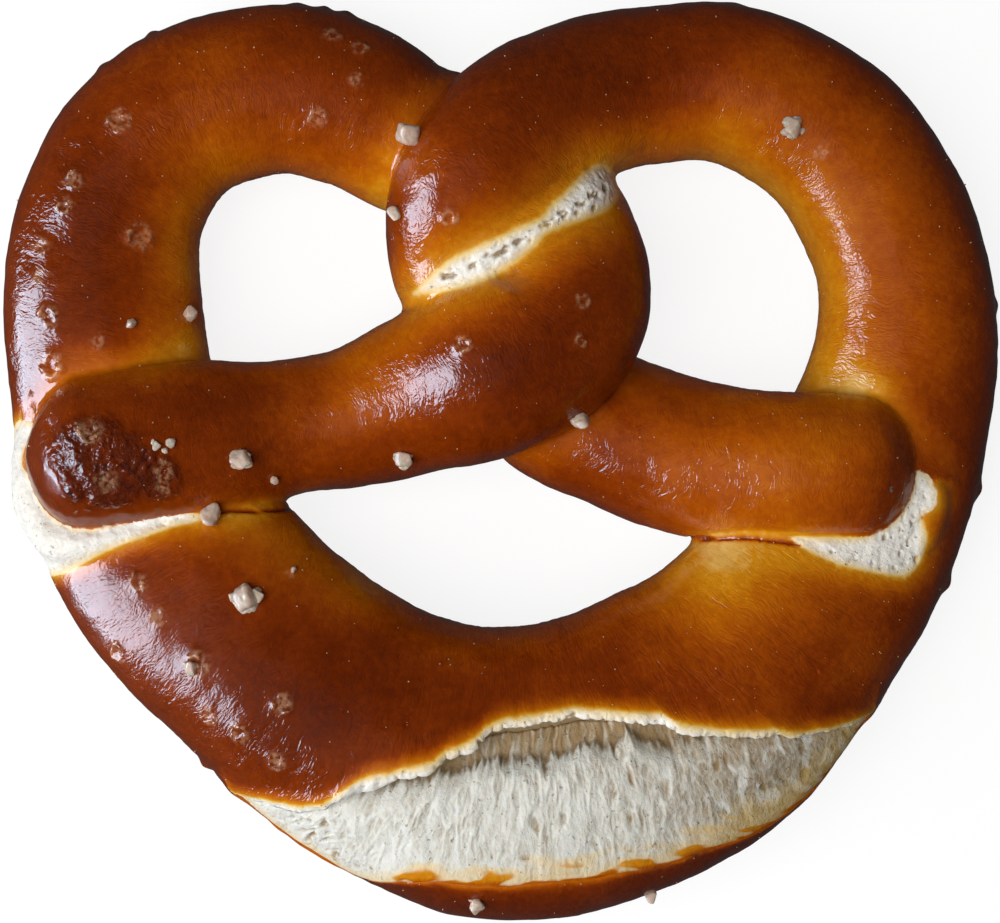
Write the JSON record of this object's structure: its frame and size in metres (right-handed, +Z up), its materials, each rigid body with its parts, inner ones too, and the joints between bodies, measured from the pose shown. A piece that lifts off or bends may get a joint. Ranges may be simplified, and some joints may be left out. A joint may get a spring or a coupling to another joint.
{
  "type": "soft pretzel",
  "caption": "Soft pretzel in the classic twisted shape, with a dark glossy crust, a split pale belly, open holes through it and coarse salt on top.",
  "frame": {"origin": "middle of the footprint, on the surface that the pretzel rests on", "axes": "+Z up; +Y from the thick split belly towards the two arms; +X to the pretzel's right as seen from above"},
  "size_m": [0.1506, 0.1383, 0.0326],
  "materials": {
    "crust": "baked lye crust, chestnut brown, satin to glossy with fine wrinkles",
    "crumb": "torn open crumb, cream white, porous and fibrous, matte",
    "salt": "coarse baking salt, white to cream, part melted"
  },
  "bodies": {
    "root": {"pretzel": "crust"}
  },
  "joints": []
}
